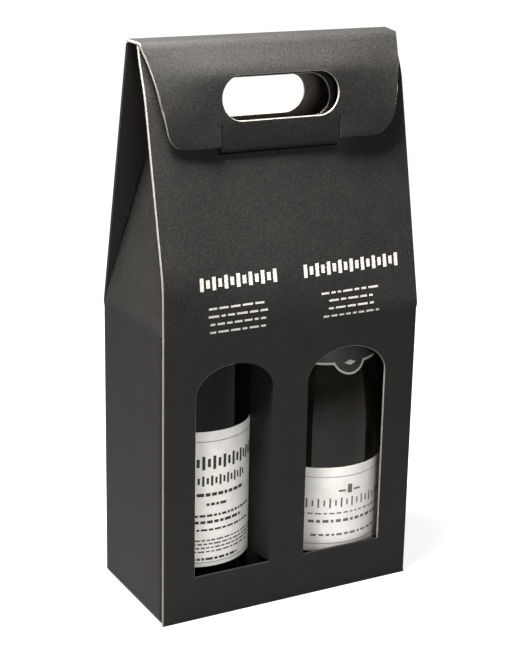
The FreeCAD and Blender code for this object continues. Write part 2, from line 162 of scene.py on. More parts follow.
@dataclass(frozen=True)
class PrintedBoard:
    """Matt ink on the outer liner of thin corrugated board, printed by offset and not varnished.

    It scatters light softly, with a fine grain from the paper's fibres and faint lines where
    the flutes show through.
    """

    name: str = "printed_board"
    dark: str = "121110"
    mean: str = "1a1816"
    pale: str = "262421"
    bare: str = "86817a"
    grain_mm: float = 0.9      # paper grain, drawn coarser than the real 0.3 so that it shows
    mottle_mm: float = 16.0
    mottle_share: float = 0.12
    flute_mm: float = 2.2      # flute pitch
    flute_waves: float = 20.0  # waves that the texture draws in one unit of its scale
    roughness: float = 0.62
    specular: float = 0.25
    bare_x: float = -89.4      # left of this the front's ink has worn off its raw edge
    # Lines just behind the front's left edge in the side view: height, depth and rise
    bare_lines: tuple[tuple[float, float, float], ...] = (
        (191.0, -44.1, 0.0), (231.0, -41.3, 0.232), (324.0, -19.7, 0.335))
    facing_front: float = -0.5

    def worn(self, shade: Shading) -> Socket:
        """One on the front's raw left edge, zero elsewhere."""
        place = shade.add("ShaderNodeSeparateXYZ", {0: shade.where}).outputs
        normal = shade.add("ShaderNodeNewGeometry").outputs["Normal"]
        facing = shade.add("ShaderNodeSeparateXYZ", {0: normal}).outputs["Y"]
        lines = [shade.sum("MULTIPLY_ADD", place["Z"], rise, (depth - rise * height) * MM)
                 for height, depth, rise in self.bare_lines]
        behind = shade.sum("MAXIMUM", shade.sum("MAXIMUM", lines[0], lines[1]), lines[2])
        left = shade.sum("LESS_THAN", place["X"], self.bare_x * MM)
        ahead = shade.sum("LESS_THAN", place["Y"], behind)
        front = shade.sum("LESS_THAN", facing, self.facing_front)
        return shade.sum("MULTIPLY", shade.sum("MULTIPLY", left, ahead), front)

    def build(self) -> Material:
        """Make the material."""
        shade = Shading(self.name)
        grain = shade.noise(self.grain_mm, Detail=3.0, Roughness=0.7)
        mottle = shade.noise(self.mottle_mm, Detail=4.0, Roughness=0.55)
        value = shade.sum("MULTIPLY_ADD", mottle, self.mottle_share,
                          shade.sum("MULTIPLY", grain, 1.0 - self.mottle_share))
        colour = shade.ramp(value, (0.4, self.dark), (0.5, self.mean), (0.6, self.pale))
        bands = {"Vector": shade.where, "Scale": per_metre(self.flute_mm) / self.flute_waves,
                 "Distortion": 0.6, "Detail": 1.0}
        flutes = shade.add("ShaderNodeTexWave", bands, wave_type="BANDS", bands_direction="X")
        ribs = shade.bump(flutes.outputs["Fac"], 0.05, 0.1)
        rough = shade.add("ShaderNodeMapRange", {"Value": grain, "To Min": self.roughness - 0.07,
                                                 "To Max": self.roughness + 0.1})
        return shade.finish({"Base Color": shade.mix(self.worn(shade), colour, self.bare),
                             "Normal": shade.bump(grain, 0.35, 0.12, Normal=ribs),
                             "Roughness": rough.outputs[0], "Specular IOR Level": self.specular})


@dataclass(frozen=True)
class Paper:
    """Uncoated paper or the bare liner of board: fibrous, quite matt, with small specks."""

    name: str
    mean: str
    dark: str
    fibre_mm: float = 0.7
    cloud_mm: float = 9.0
    roughness: float = 0.8
    bump_mm: float = 0.05

    def marked(self, shade: Shading, plain: Socket) -> Socket:
        """Colour with what is printed on the paper; here nothing is."""
        return plain

    def build(self) -> Material:
        """Make the material."""
        shade = Shading(self.name)
        fibre = shade.noise(self.fibre_mm, Detail=4.0, Roughness=0.7)
        cloud = shade.noise(self.cloud_mm, Detail=3.0)
        mean = shade.sum("MULTIPLY", shade.sum("ADD", fibre, cloud), 0.5)
        colour = shade.ramp(mean, (0.35, self.dark), (0.58, self.mean))
        return shade.finish({"Base Color": self.marked(shade, colour),
                             "Normal": shade.bump(fibre, 0.4, self.bump_mm),
                             "Roughness": self.roughness, "Specular IOR Level": 0.3})


@dataclass(frozen=True)
class BorderedPaper(Paper):
    """Paper of the collar label, with a pale border along its lower edge and a small lozenge.

    The lower edge is level, with a round dip in its middle.
    """

    border: str = "b9b4ac"
    middle_x: float = 46.4
    low: float = 152.5
    dip_rise: float = 5.62     # from the level edge up to the middle of the dip's circle
    dip_radius: float = 12.62
    width: float = 1.4
    lozenge: Flat = (4.2, 1.7)
    lozenge_rise: float = 0.8

    def marked(self, shade: Shading, plain: Socket) -> Socket:
        """Colour with the border and the lozenge."""
        place = shade.add("ShaderNodeSeparateXYZ", {0: shade.where}).outputs
        across = shade.sum("SUBTRACT", place["X"], self.middle_x * MM)
        over_edge, over_middle, over_mark = (
            shade.sum("SUBTRACT", place["Z"], (self.low + rise) * MM)
            for rise in (self.width, self.dip_rise, self.lozenge_rise))
        squares = [shade.sum("MULTIPLY", side, side) for side in (across, over_middle)]
        reach = shade.sum("POWER", shade.sum("ADD", *squares), 0.5)
        within = shade.sum("SUBTRACT", (self.dip_radius - self.width) * MM, reach)
        border = shade.sum("LESS_THAN", shade.sum("MAXIMUM", over_edge, within), 0.0)
        shares = [shade.sum("DIVIDE", shade.sum("ABSOLUTE", side), half * MM)
                  for side, half in zip((across, over_mark), self.lozenge)]
        lozenge = shade.sum("LESS_THAN", shade.sum("ADD", *shares), 1.0)
        return shade.mix(shade.sum("MAXIMUM", border, lozenge), plain, self.border)


@dataclass(frozen=True)
class BottleGlass:
    """Dark bottle glass filled with wine: almost black, with a hard smooth gloss and slight
    waves from the mould."""

    name: str
    deep: str
    body: str
    specular: float = 0.3
    wave_mm: float = 26.0
    roughness: float = 0.07
    refraction: float = 1.52

    def build(self) -> Material:
        """Make the material."""
        shade = Shading(self.name)
        wave = shade.noise(self.wave_mm, Detail=1.0)
        return shade.finish({"Base Color": shade.ramp(wave, (0.35, self.deep), (0.7, self.body)),
                             "Normal": shade.bump(wave, 0.25, 0.5), "Roughness": self.roughness,
                             "IOR": self.refraction, "Specular IOR Level": self.specular})


@dataclass(frozen=True)
class CapsuleFoil:
    """Lacquered aluminium foil shrunk over the mouth: satin, with fine drawn lines down it."""

    name: str
    colour: str
    dark: str
    line_mm: float = 0.8
    stretch: float = 0.06      # height of the texture's grain against its width
    roughness: float = 0.38
    metallic: float = 0.85

    def build(self) -> Material:
        """Make the material."""
        shade = Shading(self.name)
        drawn = shade.add("ShaderNodeVectorMath", {0: shade.where, 1: (1.0, 1.0, self.stretch)},
                          operation="MULTIPLY").outputs[0]
        lines = shade.noise(self.line_mm, Vector=drawn, Detail=2.0)
        return shade.finish({"Base Color": shade.ramp(lines, (0.35, self.dark), (0.65, self.colour)),
                             "Normal": shade.bump(lines, 0.3, 0.08), "Metallic": self.metallic,
                             "Roughness": self.roughness})


@dataclass(frozen=True)
class Ink:
    """Printing ink in one colour, thin and matt, a little uneven where the paper is rough."""

    name: str
    colour: str
    thin: str
    grain_mm: float = 0.8
    roughness: float = 0.7

    def build(self) -> Material:
        """Make the material."""
        shade = Shading(self.name)
        grain = shade.noise(self.grain_mm, Detail=2.0)
        return shade.finish({"Base Color": shade.ramp(grain, (0.3, self.thin), (0.55, self.colour)),
                             "Roughness": self.roughness, "Specular IOR Level": 0.3})


# Flat regions cut from board and laid into space

def resample(points: Sequence[Flat], step: float) -> list[Flat]:
    """Corners of a closed chain, with points between them no further apart than a step."""
    ends = [*points[1:], points[0]]
    result = []
    for (x0, y0), (x1, y1) in zip(points, ends):
        count = max(1, math.ceil(math.hypot(x1 - x0, y1 - y0) / step - 1e-6))
        result += [(x0 + (x1 - x0) * k / count, y0 + (y1 - y0) * k / count) for k in range(count)]
    return result


def inside(points: np.ndarray, loops: Sequence[Sequence[Flat]]) -> np.ndarray:
    """Which of the points, one in each row, lie in the first loop and in none of the others."""
    result = np.zeros(len(points), bool)
    for loop in loops:
        start = np.array(loop)
        end = np.roll(start, -1, axis=0)
        for (x0, y0), (x1, y1) in zip(start, end):
            if y0 == y1:
                continue
            crosses = (y0 > points[:, 1]) != (y1 > points[:, 1])
            at = x0 + (points[:, 1] - y0) * (x1 - x0) / (y1 - y0)
            result ^= crosses & (points[:, 0] < at)
    return result


def nearest(points: np.ndarray, others: np.ndarray) -> np.ndarray:
    """Distance from each point to the nearest of some others."""
    gap = np.full(len(points), np.inf)
    for other in others:
        gap = np.minimum(gap, np.hypot(points[:, 0] - other[0], points[:, 1] - other[1]))
    return gap


@dataclass
class Patch:
    """Flat region with holes, and the function that lays it into space.

    Attributes:
        outline: corners of the region, anticlockwise as seen from outside the sheet.
        place: gives the point in space, in millimetres, for a flat point.
        holes: outlines of the holes.
        step: spacing of the mesh points.
        flip: whether the outside is on the other side of the map.
        edge_step: spacing along the outline, the same for sheets that share a crease.
    """

    outline: list[Flat]
    place: Place
    holes: list[list[Flat]] = field(default_factory=list)
    step: float = 5.0
    flip: bool = False
    edge_step: float = 4.5

    def add_to(self, mesh: BMesh) -> None:
        """Triangulate the region and add it to a mesh."""
        loops = [resample(loop, self.edge_step) for loop in [self.outline, *self.holes]]
        points: list[Flat] = []
        edges = []
        for loop in loops:
            first = len(points)
            edges += [(first + k, first + (k + 1) % len(loop)) for k in range(len(loop))]
            points += loop
        low = np.min(points, axis=0)
        high = np.max(points, axis=0)
        counts = [max(2, int(round(span / self.step))) for span in high - low]
        axes = [np.linspace(a, b, n + 1)[1:-1] for a, b, n in zip(low, high, counts)]
        grid = np.stack(np.meshgrid(*axes), -1).reshape(-1, 2)
        grid = grid[inside(grid, loops)]
        clear = 0.45 * min(self.step, self.edge_step)
        grid = grid[nearest(grid, np.array(points)) > clear]
        every = [Vector(p) for p in [*points, *grid]]
        found, _, faces, *_ = delaunay_2d_cdt(every, edges, [], 0, 1e-7)
        places = np.array([tuple(v) for v in found])
        middles = np.array([places[list(face)].mean(axis=0) for face in faces])
        verts = [mesh.verts.new(self.place(u, v)) for u, v in places]
        for face, kept in zip(faces, inside(middles, loops)):
            if kept:
                mesh.faces.new([verts[i] for i in (reversed(face) if self.flip else face)])
        for vert in verts:
            if not vert.link_faces:
                mesh.verts.remove(vert)


def crease(mesh: BMesh, chosen: Callable[[Vector, Vector], bool], width: float) -> None:
    """Round the creases of a skin to a width on each side, where chosen says so of an edge's ends."""
    edges = [e for e in mesh.edges
             if len(e.link_faces) == 2 and chosen(e.verts[0].co, e.verts[1].co)]
    bmesh.ops.bevel(mesh, geom=edges, offset=width, segments=3, profile=0.5, affect="EDGES",
                    clamp_overlap=True)


def thicken(mesh: BMesh, depth: float, rim: Rim, margin: float = 0.3,
            longest_shift: float = 1.8) -> None:
    """Give a skin its thickness, with crushed edges where the board was cut.

    Args:
        mesh: outer skin, whose faces look outwards; the board grows behind it.
        depth: thickness of the board.
        rim: says what a cut edge shows, from its middle.
        margin: width of the crushed corners of a cut edge.
        longest_shift: limit of a corner's shift, in depths of the board.
    """
    mesh.normal_update()
    skin_faces = list(mesh.faces)
    skin_verts = list(mesh.verts)
    shift = {v: v.normal * min(v.calc_shell_factor(), longest_shift) for v in skin_verts}
    boundary = [e for e in mesh.edges if len(e.link_faces) == 1]
    inward: dict = {}
    for edge in boundary:
        face = edge.link_faces[0]
        along = (edge.verts[1].co - edge.verts[0].co).normalized()
        side = face.normal.cross(along)
        if side.dot(face.calc_center_median() - edge.verts[0].co) < 0:
            side = -side
        for vert in edge.verts:
            inward.setdefault(vert, []).append(side)
    rest = {}
    for vert, sides in inward.items():
        mean = sum(sides, Vector()).normalized()
        reach = margin / max(0.5, mean.dot(sides[0]))
        rest[vert] = vert.co.copy()
        vert.co = vert.co + mean * reach
    lower = {v: mesh.verts.new(v.co - shift[v] * depth) for v in skin_verts}
    high = {v: mesh.verts.new(rest[v] - shift[v] * margin) for v in inward}
    low = {v: mesh.verts.new(rest[v] - shift[v] * (depth - margin)) for v in inward}
    for face in skin_faces:
        face.material_index = Side.PRINT
        back = mesh.faces.new([lower[v] for v in reversed(face.verts[:])])
        back.material_index = Side.LINER
    for edge in boundary:
        loop = edge.link_loops[0]
        first, second = loop.vert, loop.link_loop_next.vert
        shown = rim((rest[first] + rest[second]) / 2.0)
        rings = [(first, second), (high[first], high[second]), (low[first], low[second]),
                 (lower[first], lower[second])]
        for (a, b), (c, d) in zip(rings, rings[1:]):
            face = mesh.faces.new([b, a, c, d])
            face.material_index = shown


def add_object(name: str, data: bpy.types.ID) -> Object:
    """Object of some data, linked into the scene."""
    piece = bpy.data.objects.new(name, data)
    bpy.context.scene.collection.objects.link(piece)
    return piece


def finish_mesh(name: str, mesh: BMesh, materials: Sequence[Material],
                smooth_degrees: float = 32.0) -> Object:
    """Turn a mesh in millimetres into an object in metres, and free the mesh.

    Edges that turn by more than smooth_degrees stay sharp.
    """
    bmesh.ops.transform(mesh, matrix=Matrix.Scale(MM, 4), verts=mesh.verts)
    data = bpy.data.meshes.new(name)
    mesh.to_mesh(data)
    mesh.free()
    data.shade_smooth()
    data.set_sharp_from_angle(angle=math.radians(smooth_degrees))
    for material in materials:
        data.materials.append(material)
    return add_object(name, data)


def board_of(patch: Patch, outside: Vector, depth: float, rim: Rim) -> BMesh:
    """Sheet of board from one patch, whose printed side faces a direction."""
    mesh = bmesh.new()
    patch.add_to(mesh)
    mesh.normal_update()
    if sum((f.normal for f in mesh.faces), Vector()).dot(outside) < 0:
        bmesh.ops.reverse_faces(mesh, faces=mesh.faces)
    thicken(mesh, depth, rim)
    return mesh


def join(mesh: BMesh, other: BMesh) -> None:
    """Add one mesh to another and free it."""
    data = bpy.data.meshes.new("part")
    other.to_mesh(data)
    other.free()
    mesh.from_mesh(data)
    bpy.data.meshes.remove(data)


def smooth_step(low: float, high: float, value: float) -> float:
    """Rise smoothly from 0 to 1 between two values."""
    share = min(1.0, max(0.0, (value - low) / (high - low)))
    return share * share * (3.0 - 2.0 * share)


def arc_points(middle: Flat, radii: Flat, start: float, end: float, count: int) -> list[Flat]:
    """Points along part of an ellipse, with the angles in degrees from the first axis."""
    angles = [math.radians(start + (end - start) * k / count) for k in range(count + 1)]
    return [(middle[0] + radii[0] * math.cos(a), middle[1] + radii[1] * math.sin(a)) for a in angles]


def arched(left: float, right: float, low: float, spring: float, rise: float) -> list[Flat]:
    """Outline with a straight foot and an arched head."""
    middle = (left + right) / 2.0
    head = arc_points((middle, spring), ((right - left) / 2.0, rise), 0.0, 180.0, 28)
    return [(left, low), (right, low), *head]


def obround(middle: Flat, width: float, height: float) -> list[Flat]:
    """Outline of a slot with round ends."""
    radius = height / 2.0
    run = width / 2.0 - radius
    right = arc_points((middle[0] + run, middle[1]), (radius, radius), -90.0, 90.0, 16)
    left = arc_points((middle[0] - run, middle[1]), (radius, radius), 90.0, 270.0, 16)
    return [*right, *left]


# The folded sheet

@dataclass
class BoxShape:
    """Sizes that the sheet, the flap and the print share, in millimetres."""

    board: float = 1.6
    half_width: float = 90.0
    half_depth: float = 45.0
    edge_height: float = 358.0
    shoulder: float = 191.0
    bend_middle: float = 205.0
    bend_radius: float = 150.0
    front_edge_y: float = -9.5
    back_edge_y: float = 7.5
    back_bend_radius: float = 25.0
    gusset_reach: float = 30.0
    hole_x: float = -3.0
    hole_width: float = 78.0
    hole_height: float = 25.0
    left_bulge: float = 3.2        # how far the free left edge of the front stands out
    bulge_from: float = 30.0       # distance to the middle at which the bulge begins
    # Heights at which the bulge begins, is full, starts to fade and is gone
    bulge_heights: tuple[float, float, float, float] = (194.0, 231.0, 324.0, 355.0)
    sharp_from: float = -10.0      # right of this the front's bend gets sharper
    right_lean: float = 4.0        # how much narrower the right side is at the top
    lean_from: float = 38.0        # right of this the front's top leans in

    def inset(self, z: float, at_edge: float, middle: float, radius: float) -> float:
        """How far a wall stands in at a height: not at all, then round a bend, then on a slope.

        Args:
            z: the height.
            at_edge: how far the wall stands in at the upper edge.
            middle: height at which the slope would start without the bend's radius.
            radius: radius of the bend.
        """
        slope = math.atan(at_edge / (self.edge_height - middle))
        rise = z - (middle - radius * math.tan(slope / 2.0))
        if rise <= 0.0:
            return 0.0
        if rise >= radius * math.sin(slope):
            return at_edge - (self.edge_height - z) * math.tan(slope)
        return radius - math.sqrt(radius ** 2 - rise ** 2)

    def front_profile(self, z: float) -> float:
        """Depth of the front's outer face at a height, down its middle."""
        at_edge = self.half_depth + self.front_edge_y
        return self.inset(z, at_edge, self.bend_middle, self.bend_radius) - self.half_depth

    def front_y(self, x: float, z: float) -> float:
        """Depth of the front's outer face, which bulges at its free left edge and bends
        more sharply towards its right edge."""
        base = self.front_profile(z)
        if z > self.shoulder:
            share = (z - self.shoulder) / (self.edge_height - self.shoulder)
            straight = (self.front_edge_y + self.half_depth) * share - self.half_depth
            base += (straight - base) * smooth_step(self.sharp_from, self.half_width, x)
        grown, full, fading, gone = self.bulge_heights
        bulge = self.left_bulge * smooth_step(grown, full, z) * (1.0 - smooth_step(fading, gone, z))
        bulge *= smooth_step(self.bulge_from, self.half_width, -x)
        return max(base - bulge, -self.half_depth)

    def front_point(self, x: float, z: float) -> Vector:
        """Point of the front's outer face."""
        return self.settle(Vector((x, self.front_y(x, z), z)))

    def back_y(self, z: float) -> float:
        """Depth of the back's outer face at a height."""
        at_edge = self.half_depth - self.back_edge_y
        return self.half_depth - self.inset(z, at_edge, self.shoulder, self.back_bend_radius)

    def settle(self, point: Vector, start: float = 330.0, end: float = 362.0) -> Vector:
        """Lean the front's right side in, from nothing to all of it between two heights."""
        share = smooth_step(start, end, point.z)
        share *= 1.0 - smooth_step(self.front_edge_y, self.back_edge_y, point.y)
        share *= max(0.0, (point.x - self.lean_from) / (self.half_width - self.lean_from))
        return point - X_AXIS * (self.right_lean * share)


@dataclass
class Carton:
    """The box itself: front, back and sides with their folds, base flaps and window doors."""

    shape: BoxShape
    corner_round: float = 1.6
    seam_radius: float = 2.0
    glue_flap: float = 14.0
    glue_flap_low: float = 4.0
    glue_flap_top: float = 180.0
    window_low: float = 29.5
    arch_spring: float = 148.0
    arch_rise: float = 19.6
    left_window: Flat = (-68.0, -14.5)
    right_window: Flat = (10.5, 67.3)
    left_door_lean: float = 6.0
    right_door_lean: float = 8.0
    door_bow: float = 0.8
    front_hole_z: float = 324.5
    back_hole_z: float = 320.5
    slit_low: float = 293.4
    slit_high: float = 297.3
    slit_half: float = 41.5
    layer: float = 1.8             # one layer of board with its gap, in the base
    end_flap: float = 60.0
    tuck_height: float = 22.0
    tuck_taper: float = 6.0
    base_clear: float = 0.4        # between the base's layers and what they slide past
    fold_sag: float = 1.6          # of a side fold's large triangle
    wing_inset: float = 0.3        # of a wing's outer edge from the side's face
    wing_behind: float = 1.15      # depth of a wing behind the wall, in thicknesses of board
    wing_rise: float = 0.5         # of a wing's lower corner over the shoulder
    seam_clear: float = 0.05       # between the glued strip and the front

    def front(self) -> BMesh:
        """Front, right side and back with the side folds, as one skin."""
        mesh = bmesh.new()
        for patch in (self.front_patch(), self.back_patch(), self.right_side(), self.left_side(),
                      self.gusset_middle(-1.0), self.gusset_middle(1.0)):
            patch.add_to(mesh)
        bmesh.ops.remove_doubles(mesh, verts=mesh.verts, dist=0.02)
        crease(mesh, self.on_crease, self.corner_round)
        thicken(mesh, self.shape.board, self.wall_rim)
        return mesh

    def wall_outline(self, low: float) -> list[Flat]:
        """Outline of the front or the back above a height."""
        s = self.shape
        return [(-s.half_width, low), (s.half_width, low), (s.half_width, s.shoulder),
                (s.half_width, s.edge_height), (-s.half_width, s.edge_height)]

    def front_patch(self) -> Patch:
        """Front with its windows, hand hole and slit."""
        s = self.shape
        left, right = s.hole_x - self.slit_half, s.hole_x + self.slit_half
        slit = [(left, self.slit_low), (right, self.slit_low), (right, self.slit_high),
                (left, self.slit_high)]
        outline = self.wall_outline(0.0)
        outline.insert(2, (s.half_width, self.layer))
        holes = [arched(*window, self.window_low, self.arch_spring, self.arch_rise)
                 for window in (self.left_window, self.right_window)]
        holes += [obround((s.hole_x, self.front_hole_z), s.hole_width, s.hole_height), slit]
        return Patch(outline, s.front_point, holes, step=4.5)

    def back_patch(self) -> Patch:
        """Back with its hand hole."""
        s = self.shape
        outline = [*self.wall_outline(self.layer), (-s.half_width, s.shoulder)]
        hole = obround((s.hole_x, self.back_hole_z), s.hole_width, s.hole_height)
        return Patch(outline, lambda x, z: s.settle(Vector((x, s.back_y(z), z))), [hole], step=6.0,
                     flip=True)

    def right_side(self) -> Patch:
        """Right side, between the front and the back."""
        half = self.shape.half_depth
        outline = [(-half, self.layer), (half, self.layer), (half, self.shape.shoulder),
                   (-half, self.shape.shoulder)]
        return Patch(outline, lambda y, z: Vector((self.shape.half_width, y, z)), step=4.5)

    def straight(self) -> float:
        """Length of the left side's flat part."""
        return 2.0 * self.shape.half_depth - self.shape.board - self.seam_radius

    def left_side(self) -> Patch:
        """Left side, which bends in behind the front's raw edge and ends in the glued strip."""
        s = self.shape
        straight = self.straight()
        corner = straight + self.seam_radius * math.pi / 2.0
        end = corner + self.glue_flap
        taper = 0.5
        outline = [(0.0, self.layer), (straight, self.layer), (corner, self.layer + taper),
                   (corner, self.glue_flap_low), (end, self.glue_flap_low), (end, self.glue_flap_top),
                   (corner, self.glue_flap_top), (corner, s.shoulder - taper), (straight, s.shoulder),
                   (0.0, s.shoulder)]
        return Patch(outline, self.left_place, step=3.0)

    def left_place(self, along: float, z: float) -> Vector:
        """Point of the left side, measured forwards from the rear corner."""
        s = self.shape
        radius = self.seam_radius
        past = along - self.straight()
        if past <= 0.0:
            return Vector((-s.half_width, s.half_depth - along, z))
        turn = min(past / radius, math.pi / 2.0)
        front = -s.half_depth + s.board + self.seam_clear
        return Vector((-s.half_width + radius * (1.0 - math.cos(turn)) + past - radius * turn,
                       front + radius * (1.0 - math.sin(turn)), z))

    def gusset_middle(self, side: float) -> Patch:
        """Large triangle of a side fold, leaning in from the shoulder crease."""
        s = self.shape
        lean = math.atan2(s.gusset_reach, s.edge_height - s.shoulder)
        height = math.hypot(s.gusset_reach, s.edge_height - s.shoulder)
        low_y = -s.half_depth if side > 0 else -s.half_depth + s.board + self.seam_radius

        def place(y: float, up: float) -> Vector:
            """Point of the triangle, from its depth and its height along the slope."""
            share = up / height
            sag = self.fold_sag * math.sin(math.pi * share) * (1.0 - (y / s.half_depth) ** 2)
            return s.settle(Vector((side * (s.half_width - up * math.sin(lean) - sag), y,
                                    s.shoulder + up * math.cos(lean))))
        half_tip = 0.4
        outline = [(low_y, 0.0), (s.half_depth, 0.0), (half_tip, height), (-half_tip, height)]
        return Patch(outline, place, step=4.5, flip=side < 0)

    def gusset_wing(self, side: float, front: bool) -> BMesh:
        """Narrow triangle that folds back out from the large one to the front or the back."""
        s = self.shape
        behind = self.wing_behind * s.board
        low_y, top_y = ((behind - s.half_depth, behind + s.front_edge_y) if front
                        else (s.half_depth - behind, s.back_edge_y - behind))
        edge_x = side * (s.half_width - self.wing_inset)
        corner = Vector((edge_x, low_y, s.shoulder + self.wing_rise))
        top = Vector((edge_x, top_y, s.edge_height))
        tip = Vector((side * (s.half_width - s.gusset_reach), 0.0, s.edge_height))
        span = (tip - top).length

        def place(across: float, up: float) -> Vector:
            """Point between the panel's edge and the valley fold."""
            outer = corner.lerp(top, up)
            inner = corner.lerp(tip, up)
            share = min(1.0, across / max(up * span, 1e-6))
            point = outer.lerp(inner, share)
            if front and side < 0:
                shift = s.front_y(-s.half_width, point.z) - s.front_profile(point.z)
                point.y += shift * (1.0 - share)
            return s.settle(point)
        mesh = bmesh.new()
        rows = 40
        columns = 8
        tip_share = 0.004      # blunts the triangle's lower tip
        grid = [[mesh.verts.new(place(up * span * c / columns, up)) for c in range(columns + 1)]
                for up in [tip_share + (1.0 - tip_share) * r / rows for r in range(rows + 1)]]
        outward = (side > 0) == front
        for lower, upper in zip(grid, grid[1:]):
            for c in range(columns):
                corners = [lower[c], lower[c + 1], upper[c + 1], upper[c]]
                mesh.faces.new(corners if outward else corners[::-1])
        thicken(mesh, s.board, lambda p: Side.EDGE if p.z > s.edge_height - 1.0 else Side.PRINT)
        return mesh

    def on_crease(self, first: Vector, second: Vector) -> bool:
        """Whether an edge of the skin lies on a folded corner."""
        s = self.shape
        near = 0.05

        def at(point: Vector) -> set[str]:
            """Names of the folded corners that a point lies on."""
            found = set()
            if abs(abs(point.x) - s.half_width) < near:
                side = "right" if point.x > 0 else "left"
                if abs(point.z - s.shoulder) < near:
                    found.add(side)
                upright = abs(abs(point.y) - s.half_depth) < near and point.z < s.shoulder + near
                if upright and max(point.x, point.y) > 0:
                    found.add(side + str(point.y > 0))
            return found
        return bool(at(first) & at(second))

    def wall_rim(self, middle: Vector) -> Side:
        """What the cut edges of the walls show: the raw edge where the photo has it, or print."""
        s = self.shape
        near = 1.0
        x, y, z = middle
        hole_z = self.back_hole_z if y > 0.0 else self.front_hole_z
        left, right = self.left_window, self.right_window
        high = self.arch_spring + self.arch_rise + near
        in_window = self.window_low + near / 2.0 < z < high and (
            left[0] - near < x < sum(left) / 2.0 or right[0] + near < x < right[1] + near)
        by_hole = (abs(z - hole_z) < s.hole_height / 2.0 + near
                   and abs(x - s.hole_x) < s.hole_width / 2.0 + near)
        free_edge = x < near / 2.0 - s.half_width and y < s.front_y(x, z) + near
        raw = z > s.edge_height - near or free_edge or by_hole or in_window
        return Side.EDGE if raw else Side.PRINT

    def door(self, fold_x: float, free_x: float, lean: float) -> BMesh:
        """Window door, folded in about one side of its window."""
        s = self.shape
        width = abs(free_x - fold_x)
        way = -1.0 if fold_x > free_x else 1.0
        angle = math.radians(90.0 - lean)
        along = Vector((way * math.cos(angle), math.sin(angle), 0.0))
        fold = Vector((fold_x, -s.half_depth + 0.5 * s.board, 0.0))
        face = way * X_AXIS

        def place(across: float, z: float) -> Vector:
            """Point of the door, from its distance to the fold."""
            bow = self.door_bow * math.sin(math.pi * across / width)
            return fold + along * across + face * bow + Z_AXIS * z
        outline = arched(0.0, width, self.window_low, self.arch_spring, self.arch_rise)
        raw_from = -s.half_depth + 4.0
        return board_of(Patch(outline, place), face, s.board,
                        lambda p: Side.EDGE if p.y > raw_from else Side.PRINT)

    def plate(self, corners: tuple[float, float, float, float], low: float) -> BMesh:
        """Flat layer of the base, with its outside down."""
        x0, y0, x1, y1 = corners
        outline = [(x0, y0), (x1, y0), (x1, y1), (x0, y1)]
        return board_of(Patch(outline, lambda x, y: Vector((x, y, low)), step=12.0), -Z_AXIS,
                        self.shape.board, lambda p: Side.PRINT)

    def tuck(self) -> BMesh:
        """Tongue of the long base flap, which stands up inside the back."""
        low = self.shape.board
        back = self.shape.half_depth - low - self.base_clear
        half = self.shape.half_width - low - self.base_clear
        narrow = half - self.tuck_taper
        outline = [(-half, low), (half, low), (narrow, self.tuck_height), (-narrow, self.tuck_height)]
        return board_of(Patch(outline, lambda x, z: Vector((x, back, z)), step=12.0), Y_AXIS, low,
                        lambda p: Side.EDGE)

    def build(self, materials: Sequence[Material]) -> Object:
        """Make the sheet and put it on the box."""
        s = self.shape
        mesh = self.front()
        for side in (-1.0, 1.0):
            for front in (True, False):
                join(mesh, self.gusset_wing(side, front))
        join(mesh, self.door(self.left_window[1], self.left_window[0], self.left_door_lean))
        join(mesh, self.door(self.right_window[0], self.right_window[1], self.right_door_lean))
        inner = s.half_depth - s.board - self.base_clear
        half = s.half_width - s.board - self.base_clear
        front_gap, side_gap = 0.3, 0.2
        join(mesh, self.plate((-half, -s.half_depth + front_gap, half, inner), 0.0))
        for side in (-1.0, 1.0):
            left, right = sorted((side * (s.half_width - side_gap), side * (half - self.end_flap)))
            join(mesh, self.plate((left, -inner, right, inner - s.board - self.base_clear), self.layer))
        join(mesh, self.tuck())
        piece = finish_mesh("carton_sheet", mesh, materials)
        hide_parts("carton")
        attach(piece, "box")
        return piece


